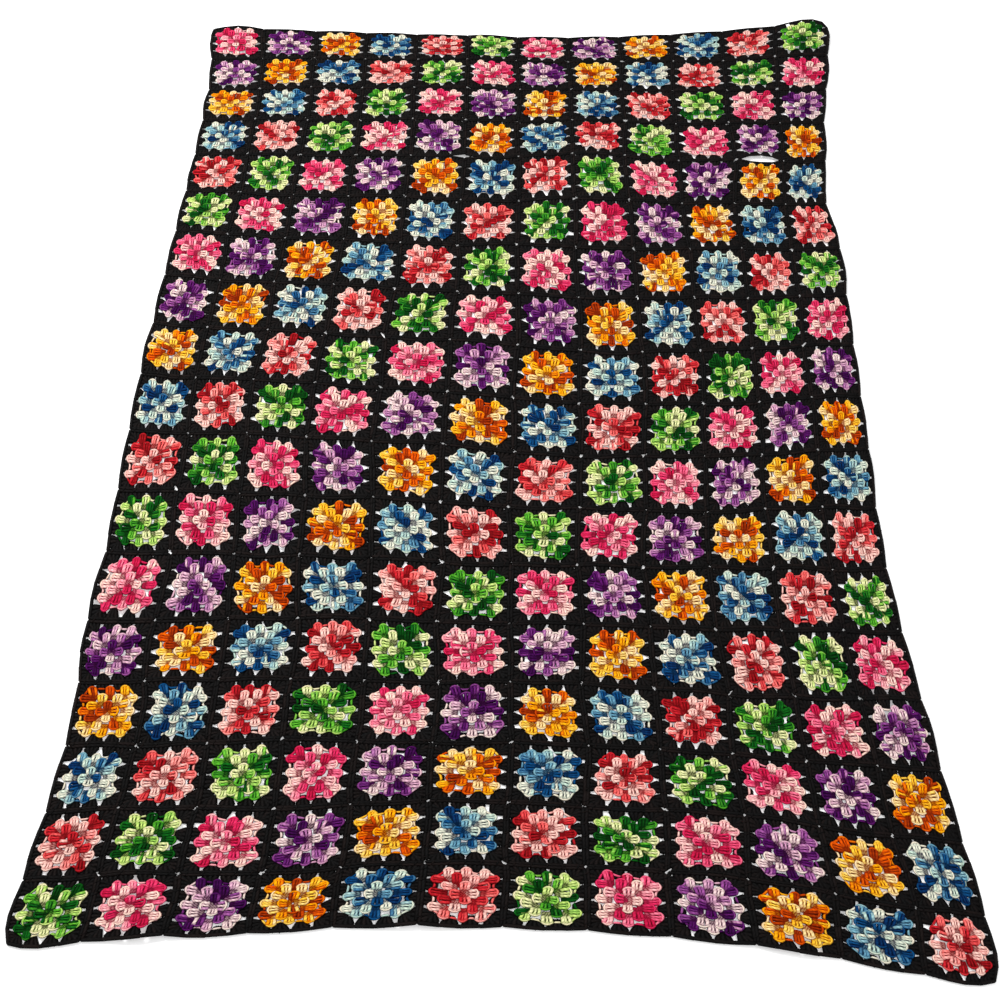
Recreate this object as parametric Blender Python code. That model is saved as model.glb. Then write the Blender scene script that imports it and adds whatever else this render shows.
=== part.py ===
"""Granny square blanket, lying flat: one openwork cloth of crochet squares joined edge to edge.

The cloth is one thin solid on the surface Z = 0, with its far edge at +Y. Its uneven outline, its
low ripples and the two stretches where a joining seam has opened come from the tables below.
Lengths are in metres, or in squares where a comment says so. Places on the cloth are counted in
squares: a column line from 0 at the left edge, and a row line from 0 at the far edge.
"""
from collections import namedtuple
from math import cos, pi, radians, sin

import bmesh
import bpy
import numpy as np
from mathutils import Euler, Matrix, Vector

SQUARE = 0.114       # side of one square, seam to seam
COLUMNS = 12
ROWS = 18
THICKNESS = 0.005    # of the crocheted cloth
CELLS = 2            # mesh cells along the side of a square
SCALLOP = 0.03       # how far an edge square bows out past its seams, in squares

YARN_BLACK = (0.014, 0.013, 0.014, 1.0)
YARN_ROUGHNESS = 0.9

# How the cloth spreads: one row for each row line that was measured, in squares from the middle.
# pinch is how much fuller the middle columns are than those at the edges.
Section = namedtuple("Section", "line left middle right pinch y_left y_middle y_right")
SECTIONS = (
    Section(0.0, -6.02, -0.05, 6.06, -0.03, 8.70, 8.62, 9.32),
    Section(1.5, -5.86, -0.02, 5.90, 0.00, 7.35, 7.58, 7.82),
    Section(3.0, -5.85, 0.00, 5.68, 0.02, 6.12, 6.30, 6.45),
    Section(6.0, -5.96, 0.02, 5.66, 0.05, 3.38, 3.22, 3.32),
    Section(9.0, -6.08, 0.00, 5.65, 0.06, 0.23, -0.03, 0.12),
    Section(12.0, -6.09, 0.00, 5.67, 0.05, -3.11, -3.17, -3.09),
    Section(15.0, -6.13, 0.04, 6.02, 0.05, -6.24, -6.04, -6.30),
    Section(18.0, -6.48, -0.02, 6.40, 0.03, -9.06, -8.60, -9.25),
)

# Where the cloth has been pulled about: the middle and width of each place, and how far the cloth
# moved there, to the right and away, in squares.
Pull = namedtuple("Pull", "column line width right away")
PULLS = (
    Pull(8.0, 8.6, 7.0, 0.09, -0.14),
    Pull(3.2, 9.8, 7.5, -0.13, 0.11),
    Pull(10.5, 3.4, 4.0, 0.12, 0.00),
    Pull(7.4, 4.2, 4.0, 0.00, 0.16),
    Pull(0.5, 13.2, 3.0, -0.10, -0.14),
    Pull(2.8, 16.8, 4.0, 0.03, -0.13),
    Pull(10.8, 16.8, 4.0, 0.09, -0.10),
    Pull(9.5, 14.2, 4.0, 0.00, -0.09),
    Pull(12.0, 4.9, 2.4, -0.12, 0.00),
)

# How far the cloth's rounded corners are drawn in, in squares.
Corner = namedtuple("Corner", "column line draw")
CORNERS = (
    Corner(0, 0, 0.05),
    Corner(COLUMNS, 0, 0.14),
    Corner(0, ROWS, 0.09),
    Corner(COLUMNS, ROWS, 0.10),
)
CORNER_REACH = 0.6   # how far along each edge from a corner the rounding starts

# Low ripples: the middle, length and width in squares, the crest's heading in degrees from the
# row lines, and the height in metres. Between them the cloth touches the surface.
Ripple = namedtuple("Ripple", "column line heading length width height")
RIPPLES = (
    Ripple(11.6, 0.3, 35, 2.6, 1.6, 0.013),
    Ripple(0.6, 0.3, 100, 1.8, 1.2, 0.007),
    Ripple(5.2, 0.4, 80, 1.8, 1.1, 0.005),
    Ripple(4.6, 4.2, 4, 4.2, 1.1, 0.005),
    Ripple(10.3, 4.1, -3, 3.0, 1.1, 0.006),
    Ripple(0.2, 2.5, 8, 2.0, 1.2, 0.008),
    Ripple(0.3, 8.6, -6, 2.4, 1.2, 0.008),
    Ripple(0.2, 12.6, 5, 2.0, 1.1, 0.006),
    Ripple(11.9, 6.6, 10, 2.2, 1.1, 0.006),
    Ripple(11.7, 10.2, -8, 2.4, 1.3, 0.008),
    Ripple(11.6, 14.2, -14, 2.6, 1.3, 0.007),
    Ripple(2.9, 11.2, 96, 5.0, 1.5, 0.005),
    Ripple(8.7, 13.0, 76, 5.2, 1.4, 0.006),
    Ripple(7.9, 6.0, 62, 3.6, 1.3, 0.004),
    Ripple(1.7, 17.6, 98, 2.8, 1.2, 0.009),
    Ripple(5.0, 17.7, 88, 2.2, 1.1, 0.007),
    Ripple(9.6, 17.3, 70, 3.6, 1.3, 0.010),
)

# Where the joining seam has opened: middle, length and width of the opening, in squares.
Opening = namedtuple("Opening", "column line length width")
OPENINGS = (
    Opening(10.5, 4.0, 0.80, 0.18),
    Opening(4.93, 4.0, 0.32, 0.09),
)
OPENING_SIDES = 16


def along(name, line):
    """One column of SECTIONS read at any row line, on a smooth curve through the table."""
    lines = np.array([section.line for section in SECTIONS])
    values = np.array([getattr(section, name) for section in SECTIONS])
    slopes = np.gradient(values, lines)
    i = np.clip(np.searchsorted(lines, line, side="right") - 1, 0, len(lines) - 2)
    step = lines[i + 1] - lines[i]
    t = (line - lines[i]) / step
    start = values[i] * (1 + 2 * t) + slopes[i] * step * t
    end = values[i + 1] * (3 - 2 * t) + slopes[i + 1] * step * (t - 1)
    return start * (1 - t) ** 2 + end * t ** 2


def edge_share(distance):
    """1 on the cloth's edge, falling to 0 one square in from it."""
    return np.clip(1 - distance, 0, 1)


def scallop(line):
    """An edge bows out in the middle of each square and draws in at each seam."""
    return SCALLOP * (np.abs(np.sin(pi * line)) - 0.5)


def pull_about(x, y, column, line):
    """Places with the pulled parts of the cloth moved."""
    for pull in PULLS:
        near = hump(np.hypot(column - pull.column, line - pull.line) / pull.width)
        x = x + pull.right * near
        y = y + pull.away * near
    return x, y


def draw_corners(x, y, column, line):
    """Places with the cloth's corners drawn in towards its middle."""
    for corner in CORNERS:
        near = np.clip(1 - np.abs(column - corner.column) / CORNER_REACH, 0, 1) * np.clip(
            1 - np.abs(line - corner.line) / CORNER_REACH, 0, 1)
        draw = corner.draw * near ** 2
        x = x + np.sign(COLUMNS / 2 - corner.column) * draw
        y = y + np.sign(corner.line - ROWS / 2) * draw
    return x, y


def lay(column, line):
    """Where a point of the joined squares lies, in squares from the middle of the cloth."""
    across = 2 * column / COLUMNS - 1
    left, middle, right = (along(name, line) for name in ("left", "middle", "right"))
    bow = (right + left) / 2 - middle
    fullness = 1 + along("pinch", line) * (1 - across ** 2)
    x = middle + (right - left) / 2 * across * fullness + bow * across ** 2
    side = np.where(across < 0, along("y_left", line), along("y_right", line))
    y = along("y_middle", line) * (1 - across ** 2) + side * across ** 2
    x += scallop(line) * (edge_share(COLUMNS - column) - edge_share(column))
    y += scallop(column) * (edge_share(line) - edge_share(ROWS - line))
    x, y = pull_about(x, y, column, line)
    return draw_corners(x, y, column, line)


def hump(distance):
    """A smooth hump one unit wide, 1 at its middle and 0 from half a unit away."""
    return np.where(np.abs(distance) < 0.5, np.cos(pi * distance) ** 2, 0.0)


def rise(column, line):
    """How far the ripples lift the cloth off the surface."""
    lift = np.zeros_like(column)
    for ripple in RIPPLES:
        turn = radians(ripple.heading)
        right, away = column - ripple.column, ripple.line - line
        lengthways = right * cos(turn) + away * sin(turn)
        crossways = away * cos(turn) - right * sin(turn)
        lift += ripple.height * hump(lengthways / ripple.length) * hump(crossways / ripple.width)
    return lift


def clear_scene():
    for item in list(bpy.data.objects):
        bpy.data.objects.remove(item)


def collection(name):
    new = bpy.data.collections.new(name)
    bpy.context.scene.collection.children.link(new)
    return new


def add_object(name, bm, home):
    """A new object of the bmesh's faces, in its collection."""
    bmesh.ops.recalc_face_normals(bm, faces=bm.faces[:])
    mesh = bpy.data.meshes.new(name)
    bm.to_mesh(mesh)
    bm.free()
    item = bpy.data.objects.new(name, mesh)
    home.objects.link(item)
    return item


def yarn():
    material = bpy.data.materials.new("black_yarn")
    material.use_nodes = True
    shader = material.node_tree.nodes["Principled BSDF"]
    shader.inputs["Base Color"].default_value = YARN_BLACK
    shader.inputs["Roughness"].default_value = YARN_ROUGHNESS
    shader.inputs["Metallic"].default_value = 0.0
    return material


def make_cloth(home):
    """A grid of cells laid on the surface and given its thickness; also the shift that centres it."""
    bm = bmesh.new()
    bmesh.ops.create_grid(bm, x_segments=COLUMNS * CELLS, y_segments=ROWS * CELLS, size=1)
    grid = np.array([vert.co for vert in bm.verts])
    column = (grid[:, 0] + 1) / 2 * COLUMNS
    line = (1 - grid[:, 1]) / 2 * ROWS
    x, y = lay(column, line)
    middle = Vector(((x.min() + x.max()) / 2, (y.min() + y.max()) / 2, 0))
    for vert, place in zip(bm.verts, zip(x, y, rise(column, line) / SQUARE)):
        vert.co = (Vector(place) - middle) * SQUARE
    top = bmesh.ops.extrude_face_region(bm, geom=bm.faces[:])["geom"]
    lifted = [part for part in top if isinstance(part, bmesh.types.BMVert)]
    bmesh.ops.translate(bm, verts=lifted, vec=(0, 0, THICKNESS))
    cloth = add_object("blanket", bm, home)
    cloth.data.materials.append(yarn())
    cloth.data.shade_flat()
    return cloth, middle


def opening_cutter(number, opening, middle, home):
    """An upright oval prism that cuts one opened stretch of seam through the cloth."""
    x, y = lay(np.array(opening.column), np.array(opening.line))
    reach = opening.length / 4
    ends = [lay(np.array(opening.column + side * reach), np.array(opening.line)) for side in (-1, 1)]
    slope = np.arctan2(ends[1][1] - ends[0][1], ends[1][0] - ends[0][0])
    place = (Vector((x, y, 0)) - middle) * SQUARE
    scale = Vector((opening.length * SQUARE, opening.width * SQUARE, 1))
    bm = bmesh.new()
    bmesh.ops.create_cone(
        bm, cap_ends=True, segments=OPENING_SIDES, radius1=0.5, radius2=0.5, depth=20 * THICKNESS,
        matrix=Matrix.LocRotScale(place, Euler((0, 0, slope)), scale))
    cutter = add_object(f"seam_opening_{number}", bm, home)
    cutter.hide_render = True
    cutter.display_type = "WIRE"
    return cutter


def main():
    clear_scene()
    cloth, middle = make_cloth(collection("granny_square_blanket"))
    cutters = collection("cutters")
    for number, opening in enumerate(OPENINGS, 1):
        cut = cloth.modifiers.new(f"seam_opening_{number}", "BOOLEAN")
        cut.operation = "DIFFERENCE"
        cut.object = opening_cutter(number, opening, middle, cutters)


main()
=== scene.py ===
"""Granny square blanket, lying flat: its looks, stitch by stitch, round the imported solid."""

from collections import namedtuple
from math import cos, pi, radians, sin

import bpy
import numpy as np
from bpy.props import FloatProperty, FloatVectorProperty, IntProperty, PointerProperty
from mathutils import Matrix, Vector


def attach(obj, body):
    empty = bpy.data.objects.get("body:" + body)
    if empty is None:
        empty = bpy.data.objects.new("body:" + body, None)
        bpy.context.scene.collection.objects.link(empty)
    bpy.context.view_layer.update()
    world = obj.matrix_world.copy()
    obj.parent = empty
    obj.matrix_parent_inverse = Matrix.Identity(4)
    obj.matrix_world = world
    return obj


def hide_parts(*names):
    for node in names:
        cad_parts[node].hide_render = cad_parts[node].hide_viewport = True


bl_info = {
    "name": "Granny Square Blanket",
    "version": (1, 0, 0),
    "blender": (4, 5, 0),
    "location": "3D View > Sidebar > Blanket",
    "description": "Crochets a granny square blanket, cluster by cluster, where the packed cloth lies",
    "category": "Object",
}

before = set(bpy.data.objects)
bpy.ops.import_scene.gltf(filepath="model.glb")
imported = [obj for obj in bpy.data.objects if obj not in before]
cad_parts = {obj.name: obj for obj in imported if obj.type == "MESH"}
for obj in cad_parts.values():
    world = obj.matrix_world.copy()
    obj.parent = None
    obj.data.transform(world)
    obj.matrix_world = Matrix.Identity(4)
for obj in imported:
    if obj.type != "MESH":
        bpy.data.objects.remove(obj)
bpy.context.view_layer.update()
SEED = 11

# --- How the cloth lies: the same tables as the solid's, in squares. ---

COLUMNS = 12
ROWS = 18
SCALLOP = 0.03       # how far an edge square bows out past its seams

# How the cloth spreads at some of its row lines, in squares from the middle. pinch is how much
# fuller the middle columns are than those at the edges.
Section = namedtuple("Section", "line left middle right pinch y_left y_middle y_right")
SECTIONS = (
    Section(0.0, -6.02, -0.05, 6.06, -0.03, 8.70, 8.62, 9.32),
    Section(1.5, -5.86, -0.02, 5.90, 0.00, 7.35, 7.58, 7.82),
    Section(3.0, -5.85, 0.00, 5.68, 0.02, 6.12, 6.30, 6.45),
    Section(6.0, -5.96, 0.02, 5.66, 0.05, 3.38, 3.22, 3.32),
    Section(9.0, -6.08, 0.00, 5.65, 0.06, 0.23, -0.03, 0.12),
    Section(12.0, -6.09, 0.00, 5.67, 0.05, -3.11, -3.17, -3.09),
    Section(15.0, -6.13, 0.04, 6.02, 0.05, -6.24, -6.04, -6.30),
    Section(18.0, -6.48, -0.02, 6.40, 0.03, -9.06, -8.60, -9.25),
)

# Where the cloth has been pulled about: the middle and width of each place, and how far the cloth
# moved there, to the right and away, in squares.
Pull = namedtuple("Pull", "column line width right away")
PULLS = (
    Pull(8.0, 8.6, 7.0, 0.09, -0.14),
    Pull(3.2, 9.8, 7.5, -0.13, 0.11),
    Pull(10.5, 3.4, 4.0, 0.12, 0.00),
    Pull(7.4, 4.2, 4.0, 0.00, 0.16),
    Pull(0.5, 13.2, 3.0, -0.10, -0.14),
    Pull(2.8, 16.8, 4.0, 0.03, -0.13),
    Pull(10.8, 16.8, 4.0, 0.09, -0.10),
    Pull(9.5, 14.2, 4.0, 0.00, -0.09),
    Pull(12.0, 4.9, 2.4, -0.12, 0.00),
)

# How far the cloth's rounded corners are drawn in, in squares.
Corner = namedtuple("Corner", "column line draw")
CORNERS = (
    Corner(0, 0, 0.05),
    Corner(COLUMNS, 0, 0.14),
    Corner(0, ROWS, 0.09),
    Corner(COLUMNS, ROWS, 0.10),
)
CORNER_REACH = 0.6   # how far along each edge from a corner the rounding starts

# Low ripples: height in metres, heading in degrees from the row lines, the rest in squares.
Ripple = namedtuple("Ripple", "column line heading length width height")
RIPPLES = (
    Ripple(11.6, 0.3, 35, 2.6, 1.6, 0.013),
    Ripple(0.6, 0.3, 100, 1.8, 1.2, 0.007),
    Ripple(5.2, 0.4, 80, 1.8, 1.1, 0.005),
    Ripple(4.6, 4.2, 4, 4.2, 1.1, 0.005),
    Ripple(10.3, 4.1, -3, 3.0, 1.1, 0.006),
    Ripple(0.2, 2.5, 8, 2.0, 1.2, 0.008),
    Ripple(0.3, 8.6, -6, 2.4, 1.2, 0.008),
    Ripple(0.2, 12.6, 5, 2.0, 1.1, 0.006),
    Ripple(11.9, 6.6, 10, 2.2, 1.1, 0.006),
    Ripple(11.7, 10.2, -8, 2.4, 1.3, 0.008),
    Ripple(11.6, 14.2, -14, 2.6, 1.3, 0.007),
    Ripple(2.9, 11.2, 96, 5.0, 1.5, 0.005),
    Ripple(8.7, 13.0, 76, 5.2, 1.4, 0.006),
    Ripple(7.9, 6.0, 62, 3.6, 1.3, 0.004),
    Ripple(1.7, 17.6, 98, 2.8, 1.2, 0.009),
    Ripple(5.0, 17.7, 88, 2.2, 1.1, 0.007),
    Ripple(9.6, 17.3, 70, 3.6, 1.3, 0.010),
)

# Where the joining seam has opened: middle, length and width of the opening, in squares.
Opening = namedtuple("Opening", "column line length width")
OPENINGS = (
    Opening(10.5, 4.0, 0.80, 0.18),
    Opening(4.93, 4.0, 0.32, 0.09),
)
OPENING_REACH = 0.5           # how far to either side of it the stitches give way
ON_SEAM = 0.01                # how near a row line a stitch is on it

# Unevenness of the stitching: waves across the whole cloth, squares per wave and how far they push.
Wave = namedtuple("Wave", "length heading push")
WAVES = (
    Wave(2.9, 20, 0.020),
    Wave(2.3, 115, 0.018),
    Wave(1.7, 63, 0.014),
    Wave(1.3, 152, 0.012),
    Wave(0.83, 38, 0.007),
    Wave(0.71, 98, 0.007),
)
CALM_EDGE = 0.5               # how far in from the edges the unevenness is whole

# --- How a square is worked, from its middle out. Places are in squares, heights in metres. ---

SIDES = 4
POSTS = (-1, 0, 1)            # the three double crochets of a cluster, left to right

# One round: where its stitches root and top out, and the clusters along one side: each cluster's
# place at the top, its root in the round before, and how far its tops spread.
Round = namedtuple("Round", "inner outer places roots spreads")
COLOURED_ROUNDS = (
    Round(-0.004, 0.168, (0.0,), (0.0,), (1.15,)),
    Round(0.088, 0.296, (-0.116, 0.116), (-0.096, 0.096), (1.15, 1.15)),
    Round(0.181, 0.395, (-0.230, 0.0, 0.230), (-0.208, 0.0, 0.208), (1.0, 1.0, 1.0)),
)
BLACK_ROUND = Round(
    0.310, 0.508, (-0.370, -0.12, 0.12, 0.370), (-0.320, -0.12, 0.12, 0.320), (1.0, 1.0, 1.0, 1.0))
CORNER_PLACE = 0.3            # clusters further along a side than this are in the black round's corners

# How far apart the posts of a cluster are, how far the outer two top out below the middle one and
# bow outwards, how wide and high each is, and the heights at which it starts and ends.
Fan = namedtuple("Fan", "root_gap top_gap dip bow half_width height foot lift")
COLOURED_FAN = Fan(0.023, 0.044, 0.010, 0.006, 0.031, 0.0023, 0.0003, 0.0034)
BLACK_FAN = Fan(0.019, 0.081, 0.004, 0.002, 0.0485, 0.0015, 0.0003, 0.0022)
SEAT = 0.8                    # share of its half height by which a stitch's middle lies above its way

# A stitch that lies across the posts: its half width in squares, its half height and its height up.
Loop = namedtuple("Loop", "half_width height up")
CAP = Loop(0.0185, 0.0018, 0.0042)      # the loops along the top of a coloured cluster
LINK = Loop(0.019, 0.0015, 0.0026)      # the chain between two clusters of the last coloured round
CHAIN = Loop(0.032, 0.0018, 0.0022)     # the chain along the top of a black cluster
SEAM = Loop(0.011, 0.0013, 0.0040)      # an overcast stitch

CAP_DROP = 0.027              # how far below the outer posts' tops a cap ends
CAP_REACH = 0.021             # and how far out to the side of them
CAP_BOW = 0.034               # its rise from its ends to its crest
LINK_SAG = 0.024              # how far a link is drawn inwards

CHAIN_OUT = 0.480             # how far out from a square's middle the chains lie
CHAIN_BOW = 0.002             # how far the middle of one bows outwards
CHAIN_ENDS = ((-0.500, -0.215), (-0.265, 0.025), (-0.025, 0.265), (0.215, 0.500))
CORNER_END = 0.4              # a chain that ends further along a side than this ends at a corner
CORNER_OVERRUN = 0.009        # how far past its corner such a chain runs at most
EDGE_OVERRUN = 0.012          # and how far along the cloth's edge

SEAM_SLANT = 0.5              # slant of the overcast stitches, in radians
SEAM_REACH = 0.045            # half the length of one

# How far the stitches usually stray. A cluster slides along its side, swings its tops, reaches out
# and spreads; a post strays by itself, all of it along the side and its top outwards.
Stray = namedtuple("Stray", "slide swing reach spread post top")
STRAY = Stray(0.007, 0.015, 0.013, 0.08, 0.003, 0.005)
ROOT_STRAY = 0.002            # how far a post's root strays outwards
CORNER_STRAY = 3.4            # how much more the clusters in the black round's corners swing
BLACK_LOOSENESS = 0.5         # how far the black round strays, as a share of the usual
ROOT_SHARE = 0.6              # share of a cluster's reach that its root follows
SLIDE_SHARE = 0.5             # and of its slide
SQUARE_TURN = 1.6             # how far the coloured rounds of a square are turned, in degrees,
SQUARE_GROWTH = 0.018         # how much larger or smaller they come out
SQUARE_SHIFT = 0.008          # and how far off the square's middle they lie
COLOURED_WIDTH_STRAY = 0.06   # unevenness of the posts' width, as a share of it
BLACK_WIDTH_STRAY = 0.05
LINK_STRAY = 0.013            # of a link's sag
CHAIN_STRAY = 0.0025          # of how far out a chain lies
CHAIN_END_STRAY = 0.024       # of a chain's end at a corner
SLANT_STRAY = 0.08            # of an overcast stitch's slant, in radians
FURTHEST_STRAY = 2.2          # the most that anything strays, in times the usual

YARNS = ("pink", "purple", "orange", "blue", "red", "green")
SHADES = 24                   # steps of shade along a yarn, each a band of its map
LOWEST_SHADE, HIGHEST_SHADE = 0.04, 0.999
PACE_STRAY = 0.45             # how unevenly the shade moves on from cluster to cluster
OUTER_POST_LEAD = 0.25        # how far it has moved on at a cluster's outer posts, in posts
CLUSTER_STRAY = 0.14          # how far a cluster strays from the run of shades
MIXED_SHARE = 0.35            # share of the clusters in which the shade changes from post to post
MIXED_STRAY = 0.22            # how far it changes in those
OWN_STRAY = 0.04              # and in the others

# The map of a stitch: posts take its lower part and loops its upper part, with a gap between.
POST_FOOT, POST_TOP = 0.01, 0.70
LOOP_FOOT, LINK_TOP, LOOP_TOP = 0.74, 0.80, 0.99
BAND_MARGIN = 0.03            # clear edge on either side of a band, as a share of it
OUTER_SHOWN = 0.5             # share of the way round the outer posts that is drawn

# --- The yarns' finish, with painted shade and highlights. Shares of the way round a stitch, from its crest, or of the way along it. ---

# How deep the painted shade in the grooves is, how much lighter the loops are painted than the posts as a
# painted highlight, in shades, and the surface.
Feel = namedtuple("Feel", "groove rim roughness shine")
COLOURED_FEEL = Feel(0.85, 0.14, 0.88, 0.06)
BLACK_FEEL = Feel(0.6, 0.0, 0.7, 0.10)
BLACK_FLECKS = (0.3, 0.7, (2.4, 1.8, 1.5), 0.5, (0.8, 1.4, 1.5))     # in times the black

SHADE_REACH = 0.88            # share of the run of shades that the bands cover
GRAIN_SCALE, GRAIN_DETAIL, GRAIN_ROUGHNESS = 60.0, 2.0, 0.6
GRAIN_SHADE = 0.16            # how unevenly the yarn is dyed, in shades
CREST, CREST_HIGHLIGHT = 0.07, 0.08                 # half width of the painted highlight along a post's crest, and how light it is painted
POST_TWIST, LOOP_TWIST, ROUND_TWIST = 4.0, 9.0, 5.0       # turns of the strands along and round
STRAND_EDGES = (0.1, 0.7)     # heights of the wave between which a strand's side rises
STRAND_SHADE_DEPTH = 0.30            # how deep the painted shade between two strands is
SLOT_SHADE_START, SLOT_SHADE_END = (0.40, 0.58), (0.74, 0.85)         # along a post, the painted shade in the slots beside its crest
SLOT_SHADE_SIDES = (0.035, 0.08)
LOOP_SHADE_SIDES, LOOP_FLANK_SHADE_DEPTH = (0.09, 0.18), 0.8                 # painted shade at the flanks of a loop
ROOT_SHADE_FADE, ROOT_SHADE_DEPTH = (0.30, 0.60), 0.88                 # painted shade at a post's root
CAP_SHADOW, CAP_SHADOW_DEPTH = (0.80, 0.92), 0.35                 # and painted shadow under the loops at its top
PAINTED_SHADE_RICH_SHARE = 0.75             # how far the painted shade takes the yarn's second shade,
PAINTED_SHADE_TINT = (0.27, 0.19, 0.20)                            # deepened by this
STRAND_RELIEF, GRAIN_RELIEF = 0.7, 0.3
BUMP_STRENGTH, BUMP_DEPTH = 0.45, 0.0012                  # the depth in metres

# --- The stage, in metres, and the camera, in squares from the middle of the joined squares. ---

FLOOR_SIZE = 60.0
FLOOR_SHADE, FLOOR_ROUGHNESS, FLOOR_GLOW = 0.88, 0.9, 0.35
STUDIO_LIGHT = 0.55
Lamp = namedtuple("Lamp", "name place size power")
LAMPS = (
    Lamp("key", (-2.0, 1.6, 3.4), 1.4, 172.0),
    Lamp("fill", (2.4, -1.2, 3.4), 3.0, 52.0),
)
CAMERA_PLACE = (-0.18, -13.79, 18.62)
CAMERA_TILT, CAMERA_ROLL = 57.7, -1.35                    # down from level and clockwise, in degrees
CAMERA_LENS, CAMERA_SENSOR = 51.26, 36.0                  # in millimetres
CAMERA_REACH = 200.0

WHITE = (1.0, 1.0, 1.0, 1.0)
SCREEN_GAMMA = 2.2
TINY = 1e-6                   # closer than this, two places are one


# --- Settings ---

def shade(name, text, red, green, blue):
    """A colour property, given as the screen shows it, 0 to 255."""
    return FloatVectorProperty(
        name=name, description=text, subtype="COLOR", size=3, min=0.0, max=1.0,
        default=[(part / 255) ** SCREEN_GAMMA for part in (red, green, blue)])


SHADE_NAMES = ("deep", "rich", "bright", "soft", "pale")
YARN_SHADES = {
    "pink": ((180, 10, 50), (230, 50, 100), (255, 120, 150), (255, 190, 190), (255, 225, 205)),
    "purple": ((35, 0, 50), (90, 25, 100), (160, 85, 155), (225, 170, 195), (250, 230, 215)),
    "orange": ((90, 5, 0), (230, 85, 0), (255, 175, 10), (255, 210, 70), (255, 230, 180)),
    "blue": ((5, 5, 60), (20, 80, 130), (115, 170, 190), (200, 225, 205), (245, 235, 210)),
    "red": ((105, 0, 5), (210, 40, 50), (255, 115, 110), (255, 185, 175), (255, 215, 200)),
    "green": ((0, 35, 10), (20, 100, 30), (95, 185, 50), (200, 230, 120), (250, 240, 190)),
}


class BlanketYarns(bpy.types.PropertyGroup):
    """The shades of each variegated yarn, and of the black one."""
    __annotations__ = {
        f"{yarn}_{name}": shade(
            f"{yarn} {name}".capitalize(), f"The {name} shade of the {yarn} yarn", *YARN_SHADES[yarn][i])
        for yarn in YARNS
        for i, name in enumerate(SHADE_NAMES)
    }
    __annotations__["black"] = shade("Black", "The joining and edging yarn", 19, 16, 16)


class BlanketSizes(bpy.types.PropertyGroup):
    """Sizes of the blanket's squares and stitches."""
    square: FloatProperty(
        name="Square", description="Side of one square, seam to seam",
        default=0.114, min=0.02, unit="LENGTH", precision=4)
    unevenness: FloatProperty(
        name="Unevenness", description="How unevenly the stitches lie, as a share of the usual",
        default=1.0, min=0.0, max=2.0, subtype="FACTOR")
    colour_run: IntProperty(
        name="Colour run", description="Double crochets in one repeat of a variegated yarn's shades",
        default=11, min=6)
    seam_stitches: IntProperty(
        name="Seam stitches", description="Overcast stitches along one side of a square",
        default=5, min=1)


# --- The cloth's lie ---

def along(name, line):
    """One column of SECTIONS read at any row line, on a smooth curve through the table."""
    lines = np.array([section.line for section in SECTIONS])
    values = np.array([getattr(section, name) for section in SECTIONS])
    slopes = np.gradient(values, lines)
    i = np.clip(np.searchsorted(lines, line, side="right") - 1, 0, len(lines) - 2)
    step = lines[i + 1] - lines[i]
    t = (line - lines[i]) / step
    start = values[i] * (1 + 2 * t) + slopes[i] * step * t
    end = values[i + 1] * (3 - 2 * t) + slopes[i + 1] * step * (t - 1)
    return start * (1 - t) ** 2 + end * t ** 2


def edge_share(distance):
    """1 on the cloth's edge, falling to 0 one square in from it."""
    return np.clip(1 - distance, 0, 1)


def scallop(line):
    """An edge bows out in the middle of each square and draws in at each seam."""
    return SCALLOP * (np.abs(np.sin(pi * line)) - 0.5)


def pull_about(x, y, column, line):
    """Places with the pulled parts of the cloth moved."""
    for pull in PULLS:
        near = hump(np.hypot(column - pull.column, line - pull.line) / pull.width)
        x = x + pull.right * near
        y = y + pull.away * near
    return x, y


def draw_corners(x, y, column, line):
    """Places with the cloth's corners drawn in towards its middle."""
    for corner in CORNERS:
        near = np.clip(1 - np.abs(column - corner.column) / CORNER_REACH, 0, 1) * np.clip(
            1 - np.abs(line - corner.line) / CORNER_REACH, 0, 1)
        draw = corner.draw * near ** 2
        x = x + np.sign(COLUMNS / 2 - corner.column) * draw
        y = y + np.sign(corner.line - ROWS / 2) * draw
    return x, y


def lay(column, line):
    """Where a point of the joined squares lies, in squares from the middle of the cloth."""
    across = 2 * column / COLUMNS - 1
    left, middle, right = (along(name, line) for name in ("left", "middle", "right"))
    bow = (right + left) / 2 - middle
    fullness = 1 + along("pinch", line) * (1 - across ** 2)
    x = middle + (right - left) / 2 * across * fullness + bow * across ** 2
    side = np.where(across < 0, along("y_left", line), along("y_right", line))
    y = along("y_middle", line) * (1 - across ** 2) + side * across ** 2
    x += scallop(line) * (edge_share(COLUMNS - column) - edge_share(column))
    y += scallop(column) * (edge_share(line) - edge_share(ROWS - line))
    x, y = pull_about(x, y, column, line)
    return draw_corners(x, y, column, line)


def hump(distance):
    """A smooth hump one unit wide, 1 at its middle and 0 from half a unit away."""
    return np.where(np.abs(distance) < 0.5, np.cos(pi * distance) ** 2, 0.0)


def rise(column, line):
    """How far the ripples lift the cloth off the surface."""
    lift = np.zeros_like(column)
    for ripple in RIPPLES:
        turn = radians(ripple.heading)
        right, away = column - ripple.column, ripple.line - line
        lengthways = right * cos(turn) + away * sin(turn)
        crossways = away * cos(turn) - right * sin(turn)
        lift += ripple.height * hump(lengthways / ripple.length) * hump(crossways / ripple.width)
    return lift


def part_seams(column, line, row):
    """Row lines with the stitches drawn apart at the seam openings, towards their own row's middle."""
    for opening in OPENINGS:
        reach = np.clip(1 - (2 * (column - opening.column) / opening.length) ** 2, 0, 1)
        side = np.sign(row - opening.line)
        give = np.clip(1 - side * (line - opening.line) / OPENING_REACH, 0, 1) ** 2
        line = line + side * opening.width / 2 * np.sqrt(reach) * give
    return line


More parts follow.
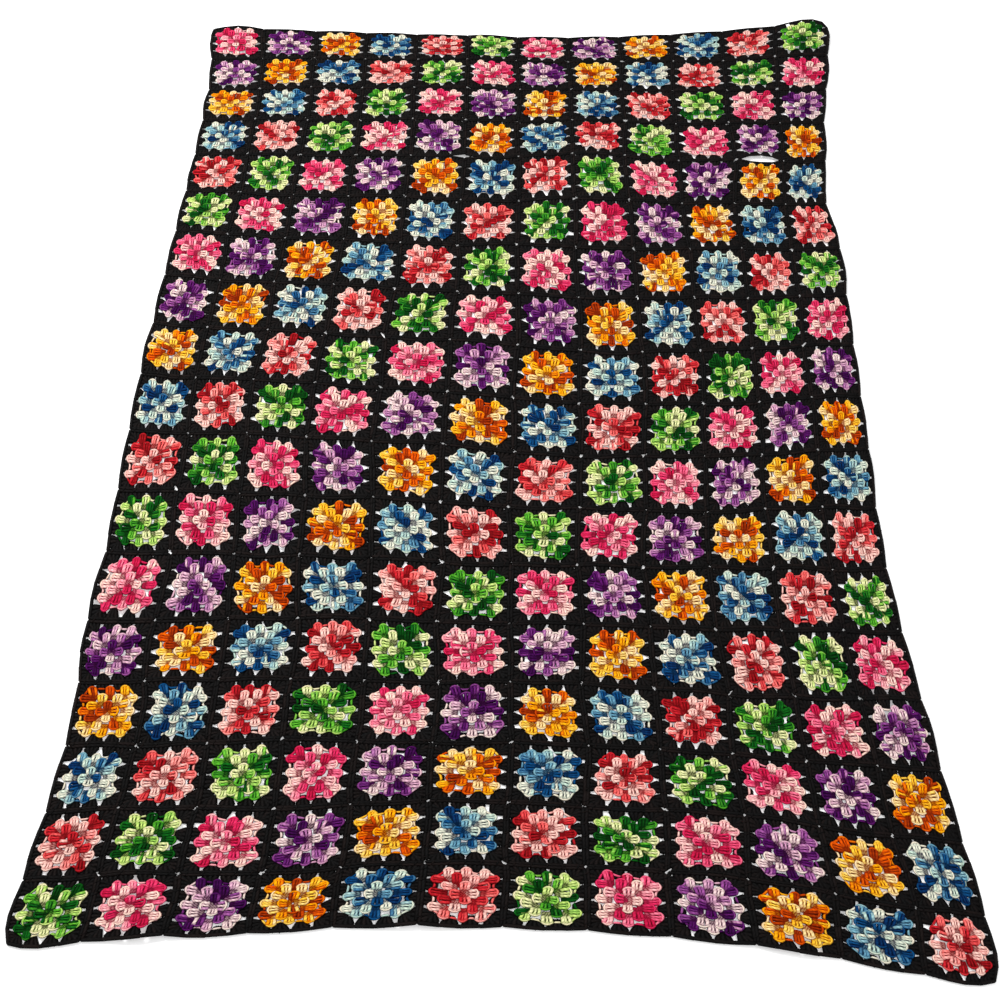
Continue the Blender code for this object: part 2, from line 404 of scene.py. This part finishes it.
def sway(column, line, amount):
    """Column and row lines after the uneven stitching has pushed them about, least at the edges."""
    inside = np.minimum(np.minimum(column, COLUMNS - column), np.minimum(line, ROWS - line))
    calm = amount * np.clip(inside / CALM_EDGE, 0, 1)
    for wave in WAVES:
        turn = radians(wave.heading)
        phase = 2 * pi * (column * cos(turn) + line * sin(turn)) / wave.length
        column = column - calm * wave.push * np.sin(phase) * sin(turn)
        line = line + calm * wave.push * np.sin(phase) * cos(turn)
    return column, line


def middle_of_cloth():
    """The middle of the cloth's outline, in squares, which lies at the frame's origin."""
    halves = (np.linspace(0, count, 2 * count + 1) for count in (COLUMNS, ROWS))
    column, line = np.meshgrid(*halves)
    x, y = lay(column, line)
    return (x.min() + x.max()) / 2, (y.min() + y.max()) / 2


def place(column, line, height, row):
    """Points in the frame, in metres, from their column and row lines and their height in the cloth.

    row is the row line through the middle of the square that they belong to.
    """
    sizes = bpy.context.scene.blanket_sizes
    column, line = sway(column, part_seams(column, line, row), sizes.unevenness)
    x, y = lay(column, line)
    middle_x, middle_y = middle_of_cloth()
    x, y = (x - middle_x) * sizes.square, (y - middle_y) * sizes.square
    return np.stack([x, y, height + rise(column, line)], axis=-1)


# --- Stitch shapes, each modelled once ---

Stitch = namedtuple("Stitch", "points faces around along")
Ring = namedtuple("Ring", "at radius")


def bare():
    """Nothing selected, in object mode."""
    if bpy.context.object and bpy.context.object.mode != "OBJECT":
        bpy.ops.object.mode_set(mode="OBJECT")
    bpy.ops.object.select_all(action="DESELECT")


def turned_bead(name, sides, rings, tips):
    """A closed bead along Z: a ring of points, extruded from ring to ring and drawn in to its tips."""
    bare()
    first = rings[0]
    bpy.ops.mesh.primitive_circle_add(
        vertices=sides, radius=first.radius, fill_type="NOTHING", location=(0, 0, first.at),
        rotation=(0, 0, pi))
    bead = bpy.context.object
    bead.name = name
    bpy.ops.object.transform_apply(location=True, rotation=True, scale=True)
    bpy.ops.object.mode_set(mode="EDIT")
    for last, ring in zip(rings, rings[1:]):
        bpy.ops.mesh.extrude_region_move(TRANSFORM_OT_translate={"value": (0, 0, ring.at - last.at)})
        grow = ring.radius / last.radius
        bpy.ops.transform.resize(value=(grow, grow, 1), center_override=(0, 0, ring.at))
    bpy.ops.mesh.extrude_region_move(TRANSFORM_OT_translate={"value": (0, 0, tips[1] - rings[-1].at)})
    bpy.ops.mesh.merge(type="CENTER")
    bpy.ops.mesh.select_all(action="DESELECT")
    bpy.ops.object.mode_set(mode="OBJECT")
    for vert in bead.data.vertices:
        vert.select = abs(vert.co.z - first.at) < TINY
    bpy.ops.object.mode_set(mode="EDIT")
    bpy.ops.mesh.extrude_region_move(TRANSFORM_OT_translate={"value": (0, 0, tips[0] - first.at)})
    bpy.ops.mesh.merge(type="CENTER")
    bpy.ops.mesh.select_all(action="SELECT")
    bpy.ops.mesh.normals_make_consistent(inside=False)
    bpy.ops.object.mode_set(mode="OBJECT")
    return bead


def read_stitch(bead):
    """The bead's points and faces, with how far round and along it each face corner lies, 0 to 1."""
    mesh = bead.data
    points = np.array([vert.co for vert in mesh.vertices])
    length = points[:, 2].max() - points[:, 2].min()
    along_it = (points[:, 2] - points[:, 2].min()) / length
    turn = np.arctan2(points[:, 0], -points[:, 1]) / (2 * pi) % 1.0
    tip = np.hypot(points[:, 0], points[:, 1]) < TINY
    faces, around, lengthways = [], [], []
    for face in mesh.polygons:
        corners = list(face.vertices)
        turns = np.array([turn[v] for v in corners])
        known = np.array([not tip[v] for v in corners])
        if np.ptp(turns[known]) > 0.5:
            turns[known & (turns < 0.5)] += 1
        turns[~known] = turns[known].mean()
        faces.append(corners)
        around.extend(turns)
        lengthways.extend(along_it[v] for v in corners)
    bpy.data.objects.remove(bead)
    return Stitch(points, faces, np.array(around), np.array(lengthways))


def make_post():
    """One double crochet lying on its side: thin at its root, full near its top. Five-sided."""
    rings = (Ring(0.05, 0.85), Ring(0.50, 0.95), Ring(0.92, 0.90))
    return read_stitch(turned_bead("post", 5, rings, (0.0, 1.0)))


def make_slim_post():
    """A post of the black round, four-sided, because its yarn shows less."""
    rings = (Ring(0.12, 0.62), Ring(0.70, 1.0))
    return read_stitch(turned_bead("slim_post", 4, rings, (0.0, 1.0)))


def make_cap():
    """The loops along the top of a coloured cluster."""
    rings = (Ring(-0.86, 0.8), Ring(-0.45, 1.0), Ring(0, 1.05), Ring(0.45, 1.0), Ring(0.86, 0.8))
    return read_stitch(turned_bead("cap", 4, rings, (-1.0, 1.0)))


def make_loop():
    """A plain overcast stitch, or the chain between two clusters."""
    return read_stitch(turned_bead("loop", 4, (Ring(-0.5, 1.0), Ring(0.5, 1.0)), (-1.0, 1.0)))


def make_chain():
    """The chain along the top of a black cluster."""
    return read_stitch(turned_bead("chain", 4, (Ring(-0.8, 1.0), Ring(0.8, 1.0)), (-1.0, 1.0)))


# --- Where the stitches go ---

def jitter(rng, shape, size):
    """Strays of this usual size, as the blanket's unevenness sets it."""
    strays = np.clip(rng.standard_normal(shape), -FURTHEST_STRAY, FURTHEST_STRAY)
    return strays * size * bpy.context.scene.blanket_sizes.unevenness


Posts = namedtuple("Posts", "cluster side post at root_along root_out top_along top_out")


def posts_of_square(rounds, fan):
    """The posts of one square in the order they are worked: how far along and out each end lies."""
    rows = []
    cluster = 0
    for level in rounds:
        for side in range(SIDES):
            for at, root, spread in zip(level.places, level.roots, level.spreads):
                for post in POSTS:
                    rows.append((
                        cluster, side, post, at, root + post * fan.root_gap, level.inner,
                        at + post * fan.top_gap * spread, level.outer - fan.dip * abs(post)))
                cluster += 1
    return Posts(*np.array(rows).T)


def turn_to_side(side, way, out):
    """x and y in a square of points on its sides: way along the side, clockwise, and out."""
    across, down = np.array([1, 0, -1, 0])[side], np.array([0, 1, 0, -1])[side]
    return way * across + out * down, out * across - way * down


def work_posts(rng, cells, rounds, fan, looseness=1.0, shift=0.0):
    """The roots and tops of all the posts of these squares, with the unevenness of hand work.

    A shift moves each square's stitches together, and then they are turned and grown a little too.
    Returned as x and y of the roots and of the tops, and each post's place in its cluster.
    """
    posts = posts_of_square(rounds, fan)
    stray = Stray(*(size * looseness for size in STRAY))
    cluster, side = posts.cluster.astype(int), posts.side.astype(int)
    by_square, by_cluster, by_post = ((len(cells), count) for count in (1, cluster[-1] + 1, len(cluster)))
    slide = jitter(rng, by_cluster, stray.slide)[:, cluster]
    swing = jitter(rng, by_cluster, stray.swing)[:, cluster]
    swing = swing * np.where(np.abs(posts.at) > CORNER_PLACE, CORNER_STRAY, 1.0)
    reach = jitter(rng, by_cluster, stray.reach)[:, cluster]
    spread = 1 + jitter(rng, by_cluster, stray.spread)[:, cluster]
    own = jitter(rng, by_post, stray.post)
    root_along = posts.root_along + slide * SLIDE_SHARE + own
    top_along = posts.at + (posts.top_along - posts.at) * spread + slide + swing + own
    root_out = posts.root_out + reach * ROOT_SHARE + jitter(rng, by_post, ROOT_STRAY)
    top_out = posts.top_out + reach + jitter(rng, by_post, stray.top)
    root, top = turn_to_side(side, root_along, root_out), turn_to_side(side, top_along, top_out)
    turn = jitter(rng, by_square, radians(SQUARE_TURN))
    grow = 1 + jitter(rng, by_square, SQUARE_GROWTH)
    shift_x, shift_y = jitter(rng, by_square, shift), jitter(rng, by_square, shift)

    def seat(x, y):
        return (x * np.cos(turn) - y * np.sin(turn)) * grow + shift_x, (
            x * np.sin(turn) + y * np.cos(turn)) * grow + shift_y

    if shift:
        root, top = seat(*root), seat(*top)
    return root, top, np.broadcast_to(posts.post, by_post)


def sweep(stitch, cells, root, top, bow, half_width, height, foot, lift):
    """Points of one stitch shape swept from each root to each top.

    The shape's Z runs from root to top, its X lies across, and its -Y is the underside. bow moves the
    middle of the way sideways. Returned as column lines, row lines, heights and rows, as place() takes.
    """
    (root_x, root_y), (top_x, top_y) = root, top
    x, y, z = stitch.points.T
    t = (z - z.min()) / (z.max() - z.min())
    go_x, go_y = top_x - root_x, top_y - root_y
    length = np.hypot(go_x, go_y)
    side_x, side_y = go_y / length, -go_x / length
    sideways = x * half_width[..., None] + 4 * t * (1 - t) * bow[..., None]
    px = root_x[..., None] + go_x[..., None] * t + side_x[..., None] * sideways
    py = root_y[..., None] + go_y[..., None] * t + side_y[..., None] * sideways
    pz = foot + (lift - foot) * t + y * height + height * SEAT
    row = cells[:, 1][:, None, None] + 0.5
    return cells[:, 0][:, None, None] + 0.5 + px, row - py, np.broadcast_to(pz, px.shape), row


def sweep_posts(stitch, cells, root, top, place_in, half_width, fan):
    """Points in the frame of a fan of posts, of which the outer ones bow outwards."""
    return place(*sweep(
        stitch, cells, root, top, place_in * fan.bow, half_width, fan.height, fan.foot, fan.lift))


def sweep_loops(stitch, cells, start, stop, bow, loop):
    """Points in the frame of stitches that lie level, from each start to each stop."""
    level = np.zeros(start[0].shape)
    return place(*sweep(
        stitch, cells, start, stop, level + bow, level + loop.half_width, loop.height, loop.up, loop.up))


def yarn_map(stitch, band, low, high, shown=1.0):
    """Map corners of many copies of a stitch: a band across for the shade, and the way along it up.

    shown is the share of the way round that is drawn; less of it leaves the painted shade of the flanks
    out.
    """
    around = 0.5 + (stitch.around - 0.5) * np.reshape(shown, (-1, 1))
    across = (band[:, None] + BAND_MARGIN + (1 - 2 * BAND_MARGIN) * around) / SHADES
    up = np.broadcast_to(low + (high - low) * stitch.along, across.shape)
    return np.stack([across, up], axis=-1).reshape(-1, 2)


def joined(name, parts):
    """One mesh object of many copies: parts are (stitch, points of each copy, map corners)."""
    points, corners, starts, maps = [], [], [], []
    first, corner = 0, 0
    for stitch, places, chart in parts:
        each = len(stitch.points)
        copies = places.size // (3 * each)
        face_corners = np.concatenate([np.array(face) for face in stitch.faces])
        sizes = np.array([len(face) for face in stitch.faces])
        offsets = np.concatenate([[0], np.cumsum(sizes)[:-1]])
        own = first + np.arange(copies)[:, None] * each
        points.append(places.reshape(-1, 3))
        corners.append((own + face_corners).ravel())
        starts.append((corner + np.arange(copies)[:, None] * len(face_corners) + offsets).ravel())
        maps.append(chart)
        first += copies * each
        corner += copies * len(face_corners)
    points, corners, starts, maps = (np.concatenate(rows) for rows in (points, corners, starts, maps))
    mesh = bpy.data.meshes.new(name)
    mesh.vertices.add(len(points))
    mesh.vertices.foreach_set("co", points.astype(np.float32).ravel())
    mesh.loops.add(len(corners))
    mesh.loops.foreach_set("vertex_index", corners.astype(np.int32))
    mesh.polygons.add(len(starts))
    mesh.polygons.foreach_set("loop_start", starts.astype(np.int32))
    mesh.update(calc_edges=True)
    layer = mesh.uv_layers.new(name="OFBake")
    layer.data.foreach_set("uv", maps.astype(np.float32).ravel())
    mesh.shade_smooth()
    piece = bpy.data.objects.new(name, mesh)
    bpy.context.scene.collection.objects.link(piece)
    return piece


# --- Finishes, with painted shade and highlights ---

class Value:
    """A socket in a material. Arithmetic on it adds Math nodes."""

    def __init__(self, tree, socket=None):
        self.tree, self.socket = tree, socket

    def node(self, kind, settings=None, inputs=None, output=0):
        """Any node: its settings, then the values or links of its sockets."""
        new = self.tree.nodes.new(kind)
        for name, value in (settings or {}).items():
            if name == "stops":
                while len(new.color_ramp.elements) < len(value):
                    new.color_ramp.elements.new(0.5)
                for element, (at, colour) in zip(new.color_ramp.elements, value):
                    element.position, element.color = at, (*colour, 1.0)
            else:
                setattr(new, name, value)
        for key, value in (inputs or {}).items():
            if isinstance(value, Value):
                self.tree.links.new(value.socket, new.inputs[key])
            else:
                new.inputs[key].default_value = value
        return Value(self.tree, new.outputs[output])

    def math(self, operation, *values):
        return self.node("ShaderNodeMath", {"operation": operation}, dict(enumerate(values)))

    def __add__(self, other):
        return self.math("ADD", self, other)

    def __radd__(self, other):
        return self.math("ADD", other, self)

    def __sub__(self, other):
        return self.math("SUBTRACT", self, other)

    def __rsub__(self, other):
        return self.math("SUBTRACT", other, self)

    def __mul__(self, other):
        return self.math("MULTIPLY", self, other)

    def __rmul__(self, other):
        return self.math("MULTIPLY", other, self)

    def __truediv__(self, other):
        return self.math("DIVIDE", self, other)

    def __rtruediv__(self, other):
        return self.math("DIVIDE", other, self)

    def between(self, low, high, to_low=0.0, to_high=1.0):
        """Eased from to_low at low to to_high at high."""
        return self.node(
            "ShaderNodeMapRange", {"interpolation_type": "SMOOTHSTEP"},
            {"Value": self, "From Min": low, "From Max": high, "To Min": to_low, "To Max": to_high})

    def tint(self, factor, towards, blend="MIX"):
        """This colour mixed with another by a factor."""
        inputs = {0: factor, 6: self, 7: towards if isinstance(towards, Value) else (*towards, 1.0)}
        return self.node("ShaderNodeMix", {"data_type": "RGBA", "blend_type": blend}, inputs, output=2)


def yarn_with_painted_light(name, shades, feel):
    """Plied yarn, read from the stitch's map: shade by band, with painted shade where stitches sink
    together and painted highlights along the crests of posts and on loops.
    """
    material = bpy.data.materials.new(name)
    material.use_nodes = True
    tree = material.node_tree
    shader = tree.nodes["Principled BSDF"]
    start = Value(tree)
    chart = start.node("ShaderNodeUVMap", {"uv_map": "OFBake"})
    across = start.node("ShaderNodeSeparateXYZ", inputs={0: chart})
    up = Value(tree, across.socket.node.outputs[1])
    band = across * SHADES
    around = band.math("FRACT", band)
    step = (band.math("FLOOR", band) + 0.5) / SHADES
    side = around - 0.5
    side = side.math("ABSOLUTE", side)
    on_post = up.math("LESS_THAN", up, (POST_TOP + LOOP_FOOT) / 2)
    on_loop = 1 - on_post
    grain = start.node(
        "ShaderNodeTexNoise", {"noise_dimensions": "2D"},
        {"Vector": chart, "Scale": GRAIN_SCALE, "Detail": GRAIN_DETAIL, "Roughness": GRAIN_ROUGHNESS})

    # the yarn's shade, with painted highlights on the loops and along a post's crest
    crest_highlight = side.between(0.0, CREST, 1.0, 0.0)
    lift = on_loop * feel.rim + crest_highlight * on_post * CREST_HIGHLIGHT
    stops = [(i / (len(shades) - 1), colour) for i, colour in enumerate(shades)]
    level = step * SHADE_REACH + lift + (grain - 0.5) * GRAIN_SHADE
    colour = start.node("ShaderNodeValToRGB", {"stops": stops}, {0: level})

    # the strands of the yarn wind round the stitch
    way = up / POST_TOP
    twist = (way * POST_TWIST + on_loop * up * LOOP_TWIST + around * ROUND_TWIST) * (2 * pi)
    strand = (twist.math("SINE", twist) * 0.5 + 0.5).between(*STRAND_EDGES)

    # the painted shade in the grooves, at the roots, under the loops and between the strands
    # painted shade in the slots beside a post's crest, and on the flanks of the loops
    slot_shade_span = way.between(*SLOT_SHADE_START) * way.between(*SLOT_SHADE_END, 1.0, 0.0)
    slot_and_flank_shade = side.between(*SLOT_SHADE_SIDES) * on_post * slot_shade_span + side.between(*LOOP_SHADE_SIDES) * on_loop * LOOP_FLANK_SHADE_DEPTH
    # painted shade at a post's root, fading out along it
    root = way.between(*ROOT_SHADE_FADE, 1.0, 0.0) * on_post
    under_cap_shadow = way.between(*CAP_SHADOW) * on_post
    painted_shade = slot_and_flank_shade.math("MAXIMUM", slot_and_flank_shade * feel.groove, root * ROOT_SHADE_DEPTH * feel.groove)
    painted_shade = painted_shade.math("MAXIMUM", painted_shade, under_cap_shadow * CAP_SHADOW_DEPTH * feel.groove)
    painted_shade = painted_shade + (1 - strand) * STRAND_SHADE_DEPTH
    # the colour of the painted shade: the yarn's second shade, deepened
    deep = colour.tint(PAINTED_SHADE_RICH_SHARE, shades[1]).tint(1.0, PAINTED_SHADE_TINT, "MULTIPLY")
    colour_with_painted_shade = colour.tint(painted_shade, deep)

    relief = strand * STRAND_RELIEF + grain * GRAIN_RELIEF
    bump = start.node(
        "ShaderNodeBump", inputs={"Strength": BUMP_STRENGTH, "Distance": BUMP_DEPTH, "Height": relief})
    tree.links.new(colour_with_painted_shade.socket, shader.inputs["Base Color"])
    tree.links.new(bump.socket, shader.inputs["Normal"])
    shader.inputs["Roughness"].default_value = feel.roughness
    shader.inputs["Specular IOR Level"].default_value = feel.shine
    return material


# --- The steps of the work ---

def all_cells():
    """The column and row of every square, and which yarn it is worked in."""
    line, column = np.meshgrid(np.arange(ROWS), np.arange(COLUMNS), indexing="ij")
    cells = np.stack([column.ravel(), line.ravel()], axis=-1)
    return cells, cells.sum(axis=1) % len(YARNS)


def shade_steps(rng, squares, posts):
    """How the yarn's shade runs from post to post of each square: 0 deep to 1 pale, and back."""
    run = bpy.context.scene.blanket_sizes.colour_run
    clusters = posts // len(POSTS)
    pace = len(POSTS) / run * (1 + PACE_STRAY * rng.standard_normal((squares, clusters)))
    phase = rng.random((squares, 1)) + np.cumsum(np.abs(pace), axis=1)
    phase = np.repeat(phase, len(POSTS), axis=1) + np.tile(POSTS, clusters) * OUTER_POST_LEAD / run
    swing = 0.5 - 0.5 * np.cos(2 * pi * phase)
    stray = np.repeat(rng.standard_normal((squares, clusters)), len(POSTS), axis=1)
    mixed = np.repeat(rng.random((squares, clusters)) < MIXED_SHARE, len(POSTS), axis=1)
    own = np.where(mixed, MIXED_STRAY, OWN_STRAY) * rng.standard_normal(swing.shape)
    return np.clip(LOWEST_SHADE + swing + CLUSTER_STRAY * stray + own, 0, HIGHEST_SHADE)


class BLANKET_OT_coloured_rounds(bpy.types.Operator):
    """Work the three coloured rounds of every square, one piece for each yarn"""
    bl_idname = "blanket.coloured_rounds"
    bl_label = "Coloured rounds"

    def execute(self, context):
        rng = np.random.default_rng(SEED)
        post, cap, loop = make_post(), make_cap(), make_loop()
        cells, yarns = all_cells()
        fan = COLOURED_FAN
        for number, yarn in enumerate(YARNS):
            own = cells[yarns == number]
            root, top, place_in = work_posts(rng, own, COLOURED_ROUNDS, fan, shift=SQUARE_SHIFT)
            bands = np.floor(shade_steps(rng, *place_in.shape) * SHADES).ravel()
            half_width = fan.half_width * (1 + jitter(rng, place_in.shape, COLOURED_WIDTH_STRAY))
            shown = np.where(place_in == 0, 1, OUTER_SHOWN)
            posts = sweep_posts(post, own, root, top, place_in, half_width, fan)
            cap_ends, link_ends = self.loop_ends(root, top)
            caps = sweep_loops(cap, own, *cap_ends, -CAP_BOW, CAP)
            cap_bands = bands.reshape(-1, len(POSTS))[:, 1]
            around = link_ends[0][0].shape
            links = sweep_loops(loop, own, *link_ends, LINK_SAG + jitter(rng, around, LINK_STRAY), LINK)
            link_bands = cap_bands.reshape(len(own), -1)[:, -around[1]:].ravel()
            piece = joined(f"{yarn}_rounds", [
                (post, posts, yarn_map(post, bands, POST_FOOT, POST_TOP, shown)),
                (cap, caps, yarn_map(cap, cap_bands, LOOP_FOOT, LOOP_TOP)),
                (loop, links, yarn_map(loop, link_bands, LOOP_FOOT, LINK_TOP)),
            ])
            shades = [getattr(context.scene.blanket_yarns, f"{yarn}_{name}") for name in SHADE_NAMES]
            piece.data.materials.append(yarn_with_painted_light(f"{yarn} yarn", shades, COLOURED_FEEL))
            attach(piece, "root")
            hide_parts("blanket")
        return {"FINISHED"}

    def loop_ends(self, root, top):
        """Where the clusters' caps start and stop, and the links between those of the last round."""
        (root_x, root_y), (top_x, top_y) = root, top
        left, middle, right = (slice(i, None, len(POSTS)) for i in range(len(POSTS)))
        go_x, go_y = top_x[:, middle] - root_x[:, middle], top_y[:, middle] - root_y[:, middle]
        length = np.hypot(go_x, go_y)
        out_x, out_y = go_x / length, go_y / length
        start = (
            top_x[:, left] - out_x * CAP_DROP - out_y * CAP_REACH,
            top_y[:, left] - out_y * CAP_DROP + out_x * CAP_REACH)
        stop = (
            top_x[:, right] - out_x * CAP_DROP + out_y * CAP_REACH,
            top_y[:, right] - out_y * CAP_DROP - out_x * CAP_REACH)
        last = SIDES * len(COLOURED_ROUNDS[-1].places)
        links = [way[:, -last:] for way in stop], [np.roll(way[:, -last:], -1, axis=1) for way in start]
        return (start, stop), links


class BLANKET_OT_black_rounds(bpy.types.Operator):
    """Work the black round of every square"""
    bl_idname = "blanket.black_rounds"
    bl_label = "Black rounds"

    def execute(self, context):
        rng = np.random.default_rng(SEED + 1)
        post, chain = make_slim_post(), make_chain()
        cells, _ = all_cells()
        fan = BLACK_FAN
        root, top, place_in = work_posts(rng, cells, (BLACK_ROUND,), fan, looseness=BLACK_LOOSENESS)
        half_width = fan.half_width * (1 + jitter(rng, place_in.shape, BLACK_WIDTH_STRAY))
        posts = sweep_posts(post, cells, root, top, place_in, half_width, fan)
        bands = np.floor(rng.random(place_in.shape) * SHADES).ravel()
        piece = joined("black_rounds", [(post, posts, yarn_map(post, bands, POST_FOOT, POST_TOP))])
        black = np.array(context.scene.blanket_yarns.black)
        finish = yarn_with_painted_light("black yarn", [tuple(black * fleck) for fleck in BLACK_FLECKS], BLACK_FEEL)
        piece.data.materials.append(finish)
        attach(piece, "root")
        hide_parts("blanket")

        start, stop = self.chain_ends(rng, cells)
        chains = sweep_loops(chain, cells, start, stop, -CHAIN_BOW, CHAIN)
        bands = np.floor(rng.random(start[0].shape) * SHADES).ravel()
        tops = joined("black_tops", [(chain, chains, yarn_map(chain, bands, LOOP_FOOT, LOOP_TOP))])
        tops.data.materials.append(finish)
        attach(tops, "root")
        return {"FINISHED"}

    def chain_ends(self, rng, cells):
        """Where the chain along each cluster starts and stops; at a corner it runs to the corner."""
        side = np.repeat(np.arange(SIDES), len(CHAIN_ENDS))
        low, high = np.tile(np.transpose(CHAIN_ENDS), SIDES)
        out = CHAIN_OUT + jitter(rng, (len(cells), len(side)), CHAIN_STRAY)
        column, line = cells.T
        on_edge = np.stack(
            [line == 0, column == COLUMNS - 1, line == ROWS - 1, column == 0], axis=-1)[:, side]
        overrun = np.where(
            on_edge, EDGE_OVERRUN, CORNER_OVERRUN - np.abs(jitter(rng, out.shape, CHAIN_END_STRAY)))
        low = np.where(low < -CORNER_END, low - overrun, low)
        high = np.where(high > CORNER_END, high + overrun, high)
        return turn_to_side(side, low, out), turn_to_side(side, high, out)


class BLANKET_OT_seams(bpy.types.Operator):
    """Overcast the squares together"""
    bl_idname = "blanket.seams"
    bl_label = "Seams"

    def execute(self, context):
        rng = np.random.default_rng(SEED + 2)
        count = context.scene.blanket_sizes.seam_stitches
        loop = make_loop()
        steps = (np.arange(count) + 0.5) / count
        spots = []
        for column in range(1, COLUMNS):
            for line in range(ROWS):
                spots += [(column, line + step, False) for step in steps]
        for line in range(1, ROWS):
            for column in range(COLUMNS):
                along_seam = [column + step for step in steps]
                spots += [(spot, line, True) for spot in along_seam if not self.open_at(spot, line)]
        column, line, along_row = np.array(spots).T
        slant = SEAM_SLANT + jitter(rng, column.shape, SLANT_STRAY)
        reach_x = np.where(along_row, np.sin(slant), np.cos(slant))[:, None] * SEAM_REACH
        reach_y = np.where(along_row, np.cos(slant), np.sin(slant))[:, None] * SEAM_REACH
        cells = np.stack([column - 0.5, line - 0.5], axis=-1)
        stitches = sweep_loops(loop, cells, (-reach_x, -reach_y), (reach_x, reach_y), 0.0, SEAM)
        bands = np.floor(rng.random(len(spots)) * SHADES)
        piece = joined("black_seams", [(loop, stitches, yarn_map(loop, bands, LOOP_FOOT, LOOP_TOP))])
        piece.data.materials.append(bpy.data.materials["black yarn"])
        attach(piece, "root")
        square = context.scene.blanket_sizes.square
        middle = (2 * BLACK_ROUND.inner) ** 2      # share of a square inside its black round
        COLUMNS * square
        ROWS * square
        COLUMNS * ROWS * square ** 2 * (1 - middle)
        return {"FINISHED"}

    def open_at(self, column, line):
        """Whether the seam between two rows has come open here."""
        return any(
            abs(line - opening.line) < ON_SEAM and abs(column - opening.column) < opening.length / 2
            for opening in OPENINGS)


class BLANKET_OT_stage(bpy.types.Operator):
    """Set the pale floor, the soft lights and the camera"""
    bl_idname = "blanket.stage"
    bl_label = "Stage"

    def execute(self, context):
        bare()
        bpy.ops.mesh.primitive_plane_add(size=FLOOR_SIZE, location=(0, 0, 0))
        floor = context.object
        floor.name = "floor"
        bpy.ops.object.transform_apply(location=True, rotation=True, scale=True)
        floor.data.materials.append(self.pale_finish())

        world = bpy.data.worlds.new("studio")
        world.use_nodes = True
        background = world.node_tree.nodes["Background"]
        background.inputs["Color"].default_value = WHITE
        background.inputs["Strength"].default_value = STUDIO_LIGHT
        context.scene.world = world
        context.scene.view_settings.view_transform = "Standard"
        for lamp in LAMPS:
            self.hang(context, lamp)
        self.set_camera(context)
        return {"FINISHED"}

    def pale_finish(self):
        material = bpy.data.materials.new("pale floor")
        material.use_nodes = True
        shader = material.node_tree.nodes["Principled BSDF"]
        shader.inputs["Base Color"].default_value = (FLOOR_SHADE, FLOOR_SHADE, FLOOR_SHADE, 1.0)
        shader.inputs["Roughness"].default_value = FLOOR_ROUGHNESS
        shader.inputs["Emission Color"].default_value = WHITE
        shader.inputs["Emission Strength"].default_value = FLOOR_GLOW
        return material

    def hang(self, context, lamp):
        """A soft light that faces the middle of the blanket."""
        light = bpy.data.lights.new(lamp.name, "AREA")
        light.size = lamp.size
        light.energy = lamp.power
        item = bpy.data.objects.new(lamp.name, light)
        spot = Vector(lamp.place)
        turn = (-spot).to_track_quat("-Z", "Y").to_matrix().to_4x4()
        item.matrix_world = Matrix.Translation(spot) @ turn
        context.scene.collection.objects.link(item)

    def set_camera(self, context):
        """The camera stands over the near edge, and looks down along the blanket."""
        square = context.scene.blanket_sizes.square
        middle_x, middle_y = middle_of_cloth()
        tilt, roll = radians(CAMERA_TILT), radians(CAMERA_ROLL)
        right, up = Vector((1, 0, 0)), Vector((0, sin(tilt), cos(tilt)))
        x_axis = right * cos(roll) - up * sin(roll)
        y_axis = right * sin(roll) + up * cos(roll)
        turn = Matrix((x_axis, y_axis, x_axis.cross(y_axis))).transposed().to_4x4()
        x, y, z = CAMERA_PLACE
        spot = Vector(((x - middle_x) * square, (y - middle_y) * square, z * square))
        camera = bpy.data.cameras.new("camera")
        camera.lens = CAMERA_LENS
        camera.sensor_width = CAMERA_SENSOR
        camera.clip_end = CAMERA_REACH
        eye = bpy.data.objects.new("camera", camera)
        eye.matrix_world = Matrix.Translation(spot) @ turn
        context.scene.collection.objects.link(eye)
        context.scene.camera = eye


class BLANKET_PT_panel(bpy.types.Panel):
    """The blanket's operators and settings"""
    bl_label = "Granny Square Blanket"
    bl_space_type = "VIEW_3D"
    bl_region_type = "UI"
    bl_category = "Blanket"

    def draw(self, context):
        for settings in (context.scene.blanket_sizes, context.scene.blanket_yarns):
            for name in settings.bl_rna.properties.keys():
                if name not in ("rna_type", "name"):
                    self.layout.prop(settings, name)
        for operator in STEPS:
            self.layout.operator(operator.bl_idname)


STEPS = (BLANKET_OT_stage, BLANKET_OT_coloured_rounds, BLANKET_OT_black_rounds, BLANKET_OT_seams)
CLASSES = (BlanketYarns, BlanketSizes, *STEPS, BLANKET_PT_panel)


def register():
    for each in CLASSES:
        bpy.utils.register_class(each)
    bpy.types.Scene.blanket_sizes = PointerProperty(type=BlanketSizes)
    bpy.types.Scene.blanket_yarns = PointerProperty(type=BlanketYarns)


def unregister():
    del bpy.types.Scene.blanket_yarns
    del bpy.types.Scene.blanket_sizes
    for each in reversed(CLASSES):
        bpy.utils.unregister_class(each)


def main():
    register()
    bpy.ops.blanket.stage()
    bpy.ops.blanket.coloured_rounds()
    bpy.ops.blanket.black_rounds()
    bpy.ops.blanket.seams()


if __name__ == "__main__":
    main()
